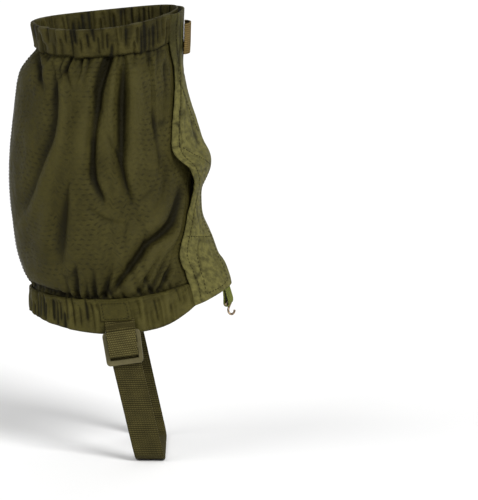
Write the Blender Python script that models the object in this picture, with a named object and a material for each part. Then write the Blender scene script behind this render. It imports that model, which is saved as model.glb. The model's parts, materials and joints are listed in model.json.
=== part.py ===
"""Short ankle gaiter for a right boot: a gathered fabric shell with elastic cuffs, a hook-and-loop
front flap with a pull loop and a lace hook, and a buckled webbing stirrup that runs under the arch.

+X points to the toe, +Y to the inner side of the foot and +Z up. The origin is the middle of the
stirrup's upper face, where the arch of the sole rests on it. Sizes below are in millimetres and
angles in degrees; MM turns them into metres. Around the leg, angle 0 is the front, -90 the outer
side, 180 the back and +90 the inner side.
"""

import math

import bmesh
import bpy
from mathutils import Matrix, Vector

MM = 0.001

# The fabric's middle surface, section by section from the rim down to the hem:
# (back x, back z, front x, front z, half width, drop at the sides, narrowing at the front).
SECTIONS = (
    (-79.5, 294.5, 18.5, 304.5, 49.0, 3.0, 0.00),
    (-77.0, 276.5, 18.0, 282.5, 46.0, 3.0, 0.00),
    (-86.5, 260.0, 17.5, 262.0, 52.0, 3.0, 0.00),
    (-90.0, 241.0, 22.0, 242.0, 55.0, 3.0, 0.05),
    (-93.5, 213.0, 30.0, 214.0, 58.0, 3.0, 0.10),
    (-94.5, 198.0, 32.0, 199.0, 58.0, 3.0, 0.12),
    (-94.5, 180.0, 30.0, 181.0, 58.0, 3.0, 0.12),
    (-93.0, 160.0, 31.0, 162.0, 57.0, 4.0, 0.15),
    (-90.5, 141.0, 38.0, 145.0, 55.0, 6.0, 0.20),
    (-86.0, 126.0, 46.0, 133.0, 53.0, 9.0, 0.25),
    (-81.0, 113.0, 51.0, 125.0, 49.0, 11.0, 0.25),
    (-81.0, 95.5, 50.0, 107.0, 49.0, 13.0, 0.25),
)
RIM = 0
TOP_SEAM = 1
BOTTOM_SEAM = 10
HEM = 11

# Layers, as distances out from the middle surface.
FABRIC_HALF = 0.6
CUFF_HALF = 2.0
CUFF_WALL = 0.6
ELASTIC_HALF = 0.9
LOOP_TAPE = (1.0, 1.7)
HOOK_TAPE = (2.2, 2.9)
FLAP = (3.6, 5.0)
STRAP_PATCH = (2.3, 3.3)
GAP = 0.3
# Layers share their rows, so that their facets stay parallel.
ROWS_PER_SECTION = 2

# Around the leg.
OPENING = 25.0
SEAM_GAP = 0.4
BACK_SEAM = 179.8
# The flap's sewn edge at each section: it keeps close to the straight hinge line.
FLAP_SEWN_EDGE = (27, 27, 25, 24, 22.5, 22, 22, 22.5, 23.5, 26, 27, 27)
# Where the flap's free edge lies at each section: it narrows over the instep and flares at the hem.
FLAP_FREE_EDGE = (-28, -28, -27, -28, -43, -35, -23, -19, -40, -47, -48, -47)
FLAP_ENDS = (0.06, 10.96)
HINGE_PROUD = 2.0
# The stiff flap buckles away from the placket over the front of the ankle.
BUCKLE_OUT = 4.8
BUCKLE_OUT_LEVEL = 5.0
BUCKLE_OUT_REACH = 1.3
BUCKLE_OUT_FADE = (-4.0, 15.0)

# Stirrup webbing and buckle.
WEBBING_WIDTH = 20.0
WEBBING_THICK = 1.4
STRAP_LEAN = 12.6
BUCKLE_LEAN = 8.0
ANCHOR_AHEAD = -20.2
ANCHOR_HEIGHT = 97.0
STRAP_SIDE = 53.7
SOLE_HALF = 44.5
SOLE_CORNER = 9.0
STRAP_START = 24.2
STRAP_TURN_END = 21.0
BUCKLE_SIZE = (26.0, 24.5)
BUCKLE_THICK = 2.6
BUCKLE_RAIL = 2.6
# Bars and slots of the buckle, from its top edge down.
BUCKLE_ROWS = (0.0, 2.6, 9.1, 12.5, 19.5, 24.5)
BUCKLE_DROP = 5.7
TURN_RADIUS = 2.8
LOOP_MIDDLE = -56.1
LOOP_LEG = 7.0

# Lace hook under the flap's front edge.
HOOK_ANGLE = -10.0
TAB_WIDTH = 9.0
TAB_THICK = 1.0
TAB_DEPTH = 2.7
TAB_TURN = 1.7
HOOK_BAR_HEIGHT = -4.0
HOOK_WIRE = 0.8

COLOURS = {
    "ripstop": ((0.074, 0.068, 0.027), 0.55, 0.0),
    "flap_fabric": ((0.110, 0.100, 0.038), 0.6, 0.0),
    "tape": ((0.030, 0.030, 0.020), 0.95, 0.0),
    "elastic": ((0.050, 0.048, 0.035), 0.9, 0.0),
    "webbing": ((0.120, 0.105, 0.042), 0.8, 0.0),
    "buckle_plastic": ((0.100, 0.092, 0.040), 0.4, 0.0),
    "hook_metal": ((0.450, 0.400, 0.340), 0.35, 1.0),
}


def smooth_value(values, place):
    """A Catmull-Rom curve through the values, read at a fractional index."""
    last = len(values) - 1
    start = min(max(int(place), 0), last - 1)
    part = place - start
    before = values[max(start - 1, 0)]
    here = values[start]
    ahead = values[start + 1]
    beyond = values[min(start + 2, last)]
    linear = (ahead - before) * part
    square = (2 * before - 5 * here + 4 * ahead - beyond) * part**2
    cube = (3 * here - before - 3 * ahead + beyond) * part**3
    return here + 0.5 * (linear + square + cube)


def middle_surface(angle, level):
    """The point of the fabric's middle surface at an angle and a fractional section number."""
    back_x, back_z, front_x, front_z, half_width, drop, narrowing = (
        smooth_value(column, level) for column in zip(*SECTIONS)
    )
    turn = math.radians(angle)
    ahead = (1 + math.cos(turn)) / 2
    narrow = 1 - narrowing * max(0.0, math.cos(turn)) ** 2
    return MM * Vector(
        (
            back_x + (front_x - back_x) * ahead,
            half_width * math.sin(turn) * narrow,
            back_z + (front_z - back_z) * ahead - drop * math.sin(turn) ** 2,
        )
    )


def surface_normal(angle, level):
    around = middle_surface(angle + 0.5, level) - middle_surface(angle - 0.5, level)
    down = middle_surface(angle, level + 0.02) - middle_surface(angle, level - 0.02)
    return down.cross(around).normalized()


def off_surface(angle, level, distance):
    return middle_surface(angle, level) + surface_normal(angle, level) * distance * MM


def flap_free_edge(level):
    return smooth_value(FLAP_FREE_EDGE, level)


def flap_sewn_edge(level):
    return smooth_value(FLAP_SEWN_EDGE, level)


def flap_distance(distance):
    """The rule for a face of the flap: a constant distance, and more where the flap buckles out."""

    def rule(angle, level):
        along = (level - BUCKLE_OUT_LEVEL) / BUCKLE_OUT_REACH
        if abs(along) >= 1:
            return distance
        start, end = BUCKLE_OUT_FADE
        across = min(max((end - angle) / (end - start), 0.0), 1.0)
        rise = (1 + math.cos(math.pi * along)) / 2
        return distance + BUCKLE_OUT * rise * across * across * (3 - 2 * across)

    return rule


def material(name):
    found = bpy.data.materials.get(name)
    if found:
        return found
    colour, roughness, metallic = COLOURS[name]
    made = bpy.data.materials.new(name)
    made.use_nodes = True
    shader = made.node_tree.nodes["Principled BSDF"]
    shader.inputs["Base Color"].default_value = (*colour, 1.0)
    shader.inputs["Roughness"].default_value = roughness
    shader.inputs["Metallic"].default_value = metallic
    made.diffuse_color = (*colour, 1.0)
    return made


def place_object(name, data, finish, pivot):
    """Adds the object with its origin at the pivot, which is a point on its joint's axis."""
    data.transform(Matrix.Translation(-pivot))
    made = bpy.data.objects.new(name, data)
    made.location = pivot
    data.materials.append(material(finish))
    bpy.context.scene.collection.objects.link(made)
    return made


def mesh_object(name, points, faces, finish, pivot, smooth=True):
    shape = bmesh.new()
    corners = [shape.verts.new(point) for point in points]
    for face in faces:
        shape.faces.new([corners[index] for index in face])
    bmesh.ops.recalc_face_normals(shape, faces=shape.faces)
    mesh = bpy.data.meshes.new(name)
    shape.to_mesh(mesh)
    shape.free()
    if smooth:
        mesh.shade_smooth()
        mesh.set_sharp_from_angle(angle=math.radians(40))
    return place_object(name, mesh, finish, pivot)


def as_rule(value):
    """A constant as a rule of the same form as one that varies over the surface."""
    return value if callable(value) else lambda *_: value


def shared_rows(levels):
    """The two end levels, and between them the rows that all the layers share."""
    first = math.floor(levels[0] * ROWS_PER_SECTION) + 1
    last = math.ceil(levels[1] * ROWS_PER_SECTION)
    between = [row / ROWS_PER_SECTION for row in range(first, last)]
    apart = 0.2 / ROWS_PER_SECTION
    kept = [level for level in between if levels[0] + apart < level < levels[1] - apart]
    return [levels[0], *kept, levels[1]]


def surface_layer(name, finish, edges, levels, layer, columns, pivot=Vector()):
    """A closed layer of the wall between two edge angles, two levels and two distances."""
    left, right = (as_rule(edge) for edge in edges)
    heights = shared_rows(levels)
    rows = len(heights) - 1
    across = columns + 1
    sheet = across * (rows + 1)
    points = []
    for distance in map(as_rule, layer):
        for level in heights:
            start, end = left(level), right(level)
            for column in range(across):
                angle = start + (end - start) * column / columns
                points.append(off_surface(angle, level, distance(angle, level)))
    faces = []
    for row in range(rows):
        for column in range(columns):
            corner = row * across + column
            quad = (corner, corner + 1, corner + across + 1, corner + across)
            faces.append(quad)
            faces.append(tuple(sheet + index for index in reversed(quad)))
    top = list(range(across))
    bottom = [rows * across + column for column in range(across)]
    sides = [[row * across + column for row in range(rows + 1)] for column in (0, columns)]
    for rim in (top, bottom, *sides):
        for first, second in zip(rim, rim[1:]):
            faces.append((first, second, sheet + second, sheet + first))
    return mesh_object(name, points, faces, finish, pivot)


def hollow_cuff(name, levels, columns):
    """A folded casing around the leg, open at its two front ends, where the elastic goes in."""
    wall = CUFF_WALL / 20.0
    middle = sum(levels) / 2
    rings = []
    for half, high, low in (
        (CUFF_HALF, levels[0], levels[1]),
        (CUFF_HALF - CUFF_WALL, levels[0] + wall, levels[1] - wall),
    ):
        outside = [(high, half), (middle, half), (low, half)]
        inside = [(low, -half), (middle, -half), (high, -half)]
        rings.append(outside + inside)
    points = []
    for column in range(columns + 1):
        angle = OPENING + (360 - 2 * OPENING) * column / columns
        for ring in rings:
            points.extend(off_surface(angle, level, distance) for level, distance in ring)
    size = len(rings[0])
    faces = []
    for index in range(size):
        follow = (index + 1) % size
        for column in range(columns):
            here = 2 * size * column
            there = here + 2 * size
            for ring in (0, size):
                faces.append(
                    (
                        here + ring + index,
                        here + ring + follow,
                        there + ring + follow,
                        there + ring + index,
                    )
                )
        for end in (0, 2 * size * columns):
            faces.append((end + index, end + follow, end + size + follow, end + size + index))
    return mesh_object(name, points, faces, "ripstop", Vector())


def arc(centre, radius, start, end, steps):
    """Points of an arc in the ribbon's plane, with angles in degrees."""
    found = []
    for step in range(steps + 1):
        turn = math.radians(start + (end - start) * step / steps)
        found.append((centre[0] + radius * math.cos(turn), centre[1] + radius * math.sin(turn)))
    return found


def ribbon(name, finish, line, thick, width, frame, pivot):
    """Webbing: a line in the frame's YZ plane, made thick, and as wide as the strap along X."""
    sides = ([], [])
    for index, (across, up) in enumerate(line):
        before = line[max(index - 1, 0)]
        after = line[min(index + 1, len(line) - 1)]
        along = Vector((after[0] - before[0], after[1] - before[1])).normalized()
        for side, sign in zip(sides, (0.5, -0.5)):
            shift = sign * thick
            side.append((across - along.y * shift, up + along.x * shift))
    outline = sides[0] + sides[1][::-1]
    count = len(outline)
    points = []
    for x in (-width / 2, width / 2):
        points.extend(frame @ (MM * Vector((x, across, up))) for across, up in outline)
    faces = []
    for index in range(count):
        follow = (index + 1) % count
        faces.append((index, follow, count + follow, count + index))
    for index in range(len(line) - 1):
        quad = (index, index + 1, count - 2 - index, count - 1 - index)
        faces.append(quad)
        faces.append(tuple(count + corner for corner in reversed(quad)))
    return mesh_object(name, points, faces, finish, pivot)


def fabric_shell():
    upper = TOP_SEAM + 0.02
    lower = BOTTOM_SEAM - 0.03
    layer = (-FABRIC_HALF, FABRIC_HALF)
    for name, side in (("lateral_panel", -1), ("medial_panel", 1)):
        edges = (side * OPENING, side * BACK_SEAM)
        surface_layer(name, "ripstop", edges, (upper, lower), layer, 16)
    hollow_cuff("top_cuff", (RIM, TOP_SEAM), 32)
    hollow_cuff("bottom_cuff", (BOTTOM_SEAM, HEM), 32)
    inset = 0.07
    around = (OPENING + 0.5, 360 - OPENING - 0.5)
    band = (-ELASTIC_HALF, ELASTIC_HALF)
    for name, level in (("top_elastic", RIM), ("bottom_elastic", BOTTOM_SEAM)):
        surface_layer(name, "elastic", around, (level + inset, level + 1 - inset), band, 32)


def front_closure():
    placket = (SEAM_GAP - OPENING, OPENING - SEAM_GAP)
    layer = (-FABRIC_HALF, FABRIC_HALF)
    surface_layer("under_placket", "flap_fabric", placket, (RIM, HEM), layer, 8)
    surface_layer("placket_loop_tape", "tape", (-19, 6), (0.2, 10.8), LOOP_TAPE, 5)


def flap_hinge():
    """Two points of the straight line that the flap turns about, beside its sewn edge."""
    middle = sum(FLAP) / 2
    high = off_surface(flap_sewn_edge(FLAP_ENDS[0]), FLAP_ENDS[0], middle)
    low = off_surface(flap_sewn_edge(FLAP_ENDS[1]), FLAP_ENDS[1], middle)
    return high, low + Vector((HINGE_PROUD * MM, 0, 0))


def flap():
    pivot = flap_hinge()[0]
    edges = (flap_free_edge, flap_sewn_edge)
    cover = tuple(flap_distance(distance) for distance in FLAP)
    tape = tuple(flap_distance(distance) for distance in HOOK_TAPE)
    surface_layer("front_flap", "flap_fabric", edges, FLAP_ENDS, cover, 10, pivot)
    surface_layer("flap_hook_tape", "tape", (-17, 5), (0.25, 10.6), tape, 5, pivot)

    half_span = 12.0
    proud = 3.4

    def rise(angle, _level):
        return FLAP[1] + GAP + proud * math.cos(math.radians(90 * angle / half_span))

    def top_of_loop(angle, level):
        return rise(angle, level) + WEBBING_THICK

    surface_layer(
        "pull_loop",
        "webbing",
        (-half_span, half_span),
        (0.42, 1.5),
        (rise, top_of_loop),
        12,
        pivot,
    )


def hook_frame():
    """A frame at the hem under the flap: X around the leg, Y outwards, Z up."""
    outwards = surface_normal(HOOK_ANGLE, HEM)
    around = middle_surface(HOOK_ANGLE + 0.5, HEM) - middle_surface(HOOK_ANGLE - 0.5, HEM)
    around.normalize()
    upwards = outwards.cross(around)
    turn = Matrix((around, outwards, upwards)).transposed().to_4x4()
    return Matrix.Translation(middle_surface(HOOK_ANGLE, HEM)) @ turn


def lace_hook():
    frame = hook_frame()
    bar = (TAB_DEPTH + TAB_TURN, HOOK_BAR_HEIGHT)
    line = [(TAB_DEPTH, 5.0)]
    line += arc(bar, TAB_TURN, 180, 360, 8)
    line.append((TAB_DEPTH + 2 * TAB_TURN, -2.0))
    pivot = flap_hinge()[0]
    ribbon("lace_hook_tab", "webbing", line, TAB_THICK, TAB_WIDTH, frame, pivot)

    reach, drop = bar
    route = (
        (-5.5, reach, drop),
        (5.5, reach, drop),
        (6.2, reach, drop - 0.9),
        (4.6, reach, drop - 3.0),
        (1.0, reach, drop - 4.6),
        (0.0, reach, drop - 5.6),
        (0.0, reach, drop - 7.0),
        (0.0, reach + 0.8, drop - 8.2),
        (0.0, reach + 2.2, drop - 8.7),
        (0.0, reach + 3.6, drop - 8.2),
        (0.0, reach + 4.3, drop - 7.0),
        (0.0, reach + 4.5, drop - 5.4),
    )
    curve = bpy.data.curves.new("lace_hook", "CURVE")
    curve.dimensions = "3D"
    curve.bevel_depth = HOOK_WIRE * MM
    curve.bevel_resolution = 2
    curve.use_fill_caps = True
    spline = curve.splines.new("POLY")
    spline.points.add(len(route) - 1)
    for point, place in zip(spline.points, route):
        point.co = (*(frame @ (MM * Vector(place))), 1.0)
    place_object("lace_hook", curve, "hook_metal", frame @ (MM * Vector((0, *bar))))


def strap_patches():
    half = 8.8
    for name, side in (("lateral_strap_patch", -1), ("medial_strap_patch", 1)):
        edges = (side * (97 - half), side * (97 + half))
        surface_layer(name, "ripstop", edges, (10.05, 10.72), STRAP_PATCH, 4)


def strap_frame():
    """A frame at the stirrup's upper ends, with Z up along the leaning buckle."""
    ends = MM * Vector((ANCHOR_AHEAD, 0, ANCHOR_HEIGHT))
    return Matrix.Translation(ends) @ Matrix.Rotation(-math.radians(BUCKLE_LEAN), 4, "Y")


def rounded_corner(corner, before, after, radius, steps):
    """Points of the arc that rounds a corner between two straight stretches."""
    corner, before, after = (Vector(place) for place in (corner, before, after))
    to_before = (before - corner).normalized()
    to_after = (after - corner).normalized()
    half_angle = math.acos(to_before.dot(to_after)) / 2
    centre = corner + (to_before + to_after).normalized() * radius / math.sin(half_angle)
    tangent = radius / math.tan(half_angle)
    start = corner + to_before * tangent - centre
    end = corner + to_after * tangent - centre
    sweep = math.pi - 2 * half_angle
    found = []
    for step in range(steps + 1):
        share = step / steps
        weights = math.sin((1 - share) * sweep), math.sin(share * sweep)
        point = centre + (start * weights[0] + end * weights[1]) / math.sin(sweep)
        found.append(tuple(point))
    return found


def stirrup():
    frame = strap_frame()
    pivot = frame.translation.copy()
    slope = math.tan(math.radians(STRAP_LEAN))
    leaning = Matrix.Identity(4)
    leaning[0][2] = -slope

    below = -WEBBING_THICK / 2
    start = (-STRAP_SIDE, ANCHOR_HEIGHT - STRAP_START)
    end = (STRAP_SIDE, ANCHOR_HEIGHT)
    corners = ((-SOLE_HALF, below), (SOLE_HALF, below))
    line = [start]
    line += rounded_corner(corners[0], start, corners[1], SOLE_CORNER, 8)
    line += rounded_corner(corners[1], corners[0], end, SOLE_CORNER, 8)
    line.append(end)
    ribbon("instep_strap", "webbing", line, WEBBING_THICK, WEBBING_WIDTH, leaning, pivot)

    loop = [(LOOP_MIDDLE - TURN_RADIUS, 0.0)]
    loop += arc((LOOP_MIDDLE, -LOOP_LEG), TURN_RADIUS, 180, 360, 10)
    loop.append((LOOP_MIDDLE + TURN_RADIUS, 0.0))
    ribbon("buckle_anchor_loop", "webbing", loop, WEBBING_THICK, WEBBING_WIDTH, frame, pivot)


def buckle():
    """The three-bar slide buckle, and the strap's turn round its middle bar."""
    frame = strap_frame()
    pivot = frame @ (MM * Vector((0, LOOP_MIDDLE, -LOOP_LEG)))
    half = BUCKLE_SIZE[0] / 2
    columns = (-half, BUCKLE_RAIL - half, half - BUCKLE_RAIL, half)
    shape = bmesh.new()
    grid = []
    for row in BUCKLE_ROWS:
        height = -BUCKLE_DROP - row
        places = [(x, LOOP_MIDDLE - BUCKLE_THICK / 2, height) for x in columns]
        grid.append([shape.verts.new(frame @ (MM * Vector(place))) for place in places])
    for row in range(len(BUCKLE_ROWS) - 1):
        for column in range(len(columns) - 1):
            is_slot = column == 1 and row % 2 == 1
            if is_slot:
                continue
            high, low = grid[row], grid[row + 1]
            shape.faces.new((high[column], high[column + 1], low[column + 1], low[column]))
    front = bmesh.ops.extrude_face_region(shape, geom=shape.faces[:])
    moved = [item for item in front["geom"] if isinstance(item, bmesh.types.BMVert)]
    bmesh.ops.translate(shape, verts=moved, vec=Vector((0, BUCKLE_THICK * MM, 0)))
    bmesh.ops.recalc_face_normals(shape, faces=shape.faces)
    mesh = bpy.data.meshes.new("buckle")
    shape.to_mesh(mesh)
    shape.free()
    made = place_object("buckle", mesh, "buckle_plastic", pivot)
    rounding = made.modifiers.new("rounding", "BEVEL")
    rounding.width = 0.4 * MM
    rounding.segments = 2
    rounding.limit_method = "ANGLE"

    bar = -BUCKLE_DROP - (BUCKLE_ROWS[2] + BUCKLE_ROWS[3]) / 2
    turn = [(LOOP_MIDDLE - TURN_RADIUS, bar - 3.0)]
    turn += arc((LOOP_MIDDLE, bar + GAP), TURN_RADIUS, 180, 0, 10)
    turn.append((LOOP_MIDDLE + TURN_RADIUS, -STRAP_TURN_END))
    ribbon("strap_buckle_turn", "webbing", turn, WEBBING_THICK, WEBBING_WIDTH, frame, pivot)


def main():
    for old in list(bpy.data.objects):
        bpy.data.objects.remove(old, do_unlink=True)
    fabric_shell()
    front_closure()
    flap()
    lace_hook()
    strap_patches()
    stirrup()
    buckle()


main()
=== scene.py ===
"""The looks of the short ankle gaiter: gathered cloth, cuffs, flap, webbing, buckle and hook, built
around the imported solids. Sizes are in millimetres and angles in degrees unless a name says otherwise;
MM turns them into metres. Around the leg, angle 0 is the front, -90 the outer side and 180 the back.
"""

import itertools
import json
import math

import bmesh
import bpy
import numpy as np
from mathutils import Matrix, Vector


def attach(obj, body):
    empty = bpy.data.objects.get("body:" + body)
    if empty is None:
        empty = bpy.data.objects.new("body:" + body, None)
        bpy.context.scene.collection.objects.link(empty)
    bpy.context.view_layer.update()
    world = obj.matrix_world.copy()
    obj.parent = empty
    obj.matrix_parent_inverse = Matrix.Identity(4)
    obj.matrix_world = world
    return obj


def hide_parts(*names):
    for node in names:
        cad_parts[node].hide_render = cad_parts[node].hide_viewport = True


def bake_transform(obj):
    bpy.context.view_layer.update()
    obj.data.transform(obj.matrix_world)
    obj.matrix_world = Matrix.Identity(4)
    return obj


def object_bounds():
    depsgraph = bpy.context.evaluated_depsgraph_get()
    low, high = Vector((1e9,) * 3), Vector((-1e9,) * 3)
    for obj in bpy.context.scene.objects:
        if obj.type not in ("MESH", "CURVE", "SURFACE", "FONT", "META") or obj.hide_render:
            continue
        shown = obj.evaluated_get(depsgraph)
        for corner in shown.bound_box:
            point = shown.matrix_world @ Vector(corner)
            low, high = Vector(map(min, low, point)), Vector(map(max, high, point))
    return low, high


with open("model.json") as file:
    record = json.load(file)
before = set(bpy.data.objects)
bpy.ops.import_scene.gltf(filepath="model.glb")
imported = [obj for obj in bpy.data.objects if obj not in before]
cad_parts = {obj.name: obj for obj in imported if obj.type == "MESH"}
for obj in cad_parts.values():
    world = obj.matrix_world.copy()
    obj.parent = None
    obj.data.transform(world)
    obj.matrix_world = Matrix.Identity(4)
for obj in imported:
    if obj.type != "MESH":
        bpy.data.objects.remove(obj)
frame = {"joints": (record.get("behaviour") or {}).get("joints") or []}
CAD_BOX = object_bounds()
MM = 0.001

# The fabric's middle surface, section by section from the rim down to the hem:
# back x, back z, front x, front z, half width, drop at the sides, narrowing at the front.
SECTIONS = np.array(
    [
        (-79.5, 294.5, 18.5, 304.5, 49.0, 3.0, 0.00),
        (-77.0, 276.5, 18.0, 282.5, 46.0, 3.0, 0.00),
        (-86.5, 260.0, 17.5, 262.0, 52.0, 3.0, 0.00),
        (-90.0, 241.0, 22.0, 242.0, 55.0, 3.0, 0.05),
        (-93.5, 213.0, 30.0, 214.0, 58.0, 3.0, 0.10),
        (-94.5, 198.0, 32.0, 199.0, 58.0, 3.0, 0.12),
        (-94.5, 180.0, 30.0, 181.0, 58.0, 3.0, 0.12),
        (-93.0, 160.0, 31.0, 162.0, 57.0, 4.0, 0.15),
        (-90.5, 141.0, 38.0, 145.0, 55.0, 6.0, 0.20),
        (-86.0, 126.0, 42.5, 133.0, 53.0, 9.0, 0.25),
        (-81.0, 113.0, 47.0, 125.0, 49.0, 11.0, 0.25),
        (-81.0, 95.5, 52.5, 107.0, 49.0, 13.0, 0.25),
    ]
)
RIM = 0.0
TOP_SEAM = 1.0
BOTTOM_SEAM = 10.0
HEM = 11.0
OPENING = 25.0
FLAP_SEWN_EDGE = np.array((27, 27, 25, 24, 22.5, 22, 22, 22.5, 23.5, 26, 27, 27))
FLAP_FREE_EDGE = np.array((-28, -29, -18.5, -30, -43, -35, -23, -30, -46, -46.5, -47.5, -48))
FLAP_BOTTOM = 10.62
FLAP_FACE = 5.0
# The strap patches, and the notches of the hem under them.
PATCH_ANGLE = 96.0
PATCH_HALF = 8.8
PATCH_LEVELS = (9.74, 10.48)
PATCH_INSET_ANGLE = 1.6
PATCH_INSET_LEVELS = (9.82, 10.42)
NOTCH_ANGLE = 95.1
SEAM_STITCH_ANGLE = 176.5


def smooth_value(values, place):
    """A Catmull-Rom curve through the values, read at an array of fractional indices."""
    place = np.asarray(place, float)
    last = len(values) - 1
    start = np.clip(place.astype(int), 0, last - 1)
    part = place - start
    before = values[np.maximum(start - 1, 0)]
    here = values[start]
    ahead = values[start + 1]
    beyond = values[np.minimum(start + 2, last)]
    linear = (ahead - before) * part
    square = (2 * before - 5 * here + 4 * ahead - beyond) * part**2
    cube = (3 * here - before - 3 * ahead + beyond) * part**3
    return here + 0.5 * (linear + square + cube)


def middle_surface(angle, level):
    """Points of the fabric's middle surface, in millimetres."""
    columns = [smooth_value(column, level) for column in SECTIONS.T]
    back_x, back_z, front_x, front_z, half_width, drop, narrowing = columns
    turn = np.radians(angle)
    ahead = (1 + np.cos(turn)) / 2
    narrow = 1 - narrowing * np.maximum(0.0, np.cos(turn)) ** 2
    x = back_x + (front_x - back_x) * ahead
    y = half_width * np.sin(turn) * narrow
    z = back_z + (front_z - back_z) * ahead - drop * np.sin(turn) ** 2
    return np.stack([x, y, z], axis=-1)


def unit(vectors):
    return vectors / np.linalg.norm(vectors, axis=-1, keepdims=True)


def surface_normal(angle, level):
    around = middle_surface(angle + 0.5, level) - middle_surface(angle - 0.5, level)
    down = middle_surface(angle, level + 0.02) - middle_surface(angle, level - 0.02)
    return unit(np.cross(down, around))


def off_surface(angle, level, distance):
    distance = np.asarray(distance, float)[..., None]
    return middle_surface(angle, level) + surface_normal(angle, level) * distance


def degree_length(angle, level):
    """How many millimetres around the leg one degree is."""
    step = middle_surface(angle + 0.5, level) - middle_surface(angle - 0.5, level)
    return np.linalg.norm(step, axis=-1)


def half_turn(angle):
    """The same direction, as an angle from -180 to 180."""
    return (angle + 180) % 360 - 180


def smoothstep(low, high, value):
    share = np.clip((value - low) / (high - low), 0.0, 1.0)
    return share * share * (3 - 2 * share)


def hump(distance, width):
    return np.exp(-((distance / width) ** 2))


def noise(points, size, seed):
    """Smooth noise from -1 to 1, with cells as large as size, which is one number or one per axis."""
    table = np.random.default_rng(seed).uniform(-1, 1, (32, 32, 32))
    places = points / np.asarray(size, float)
    # A turned lattice keeps the cells from lining up with the cloth.
    turn = np.array([(0.82, 0.41, -0.40), (-0.34, 0.91, 0.24), (0.46, -0.06, 0.88)])
    places = places @ turn + 40.0
    base = np.floor(places).astype(int)
    part = places - base
    part = part**3 * (part * (part * 6 - 15) + 10)
    total = np.zeros(points.shape[:-1])
    for corner in itertools.product((0, 1), repeat=3):
        weight = np.prod(np.where(np.array(corner), part, 1 - part), axis=-1)
        x, y, z = np.moveaxis((base + corner) % 32, -1, 0)
        total += weight * table[x, y, z]
    return total


def smooth_path(path, steps=8):
    """The path's rows with Catmull-Rom points between them."""
    path = np.array(path, float)
    places = np.linspace(0, len(path) - 1, (len(path) - 1) * steps + 1)
    return np.stack([smooth_value(column, places) for column in path.T], axis=-1)


def near_path(first, second, path):
    """Distance from the path, signed by side, and the path's other columns at the nearest place."""
    path = smooth_path(path)
    best = np.full(first.shape, np.inf)
    signed = np.zeros(first.shape)
    extras = np.zeros((*first.shape, path.shape[1] - 2))
    past_end = np.zeros(first.shape)
    last = len(path) - 2
    for index, (start, end) in enumerate(zip(path, path[1:])):
        along = end[:2] - start[:2]
        length = np.hypot(*along)
        offset = np.stack([first - start[0], second - start[1]])
        raw = (offset[0] * along[0] + offset[1] * along[1]) / length**2
        share = np.clip(raw, 0, 1)
        apart = np.hypot(offset[0] - share * along[0], offset[1] - share * along[1])
        side = np.sign(along[0] * offset[1] - along[1] * offset[0])
        closer = apart < best
        best = np.where(closer, apart, best)
        signed = np.where(closer, side * apart, signed)
        mixed = start[2:] + share[..., None] * (end[2:] - start[2:])
        extras = np.where(closer[..., None], mixed, extras)
        over = np.where(index == 0, np.maximum(0, -raw), 0.0)
        over = over + np.where(index == last, np.maximum(0, raw - 1), 0.0)
        past_end = np.where(closer, over * length, past_end)
    return signed, extras, past_end


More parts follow.
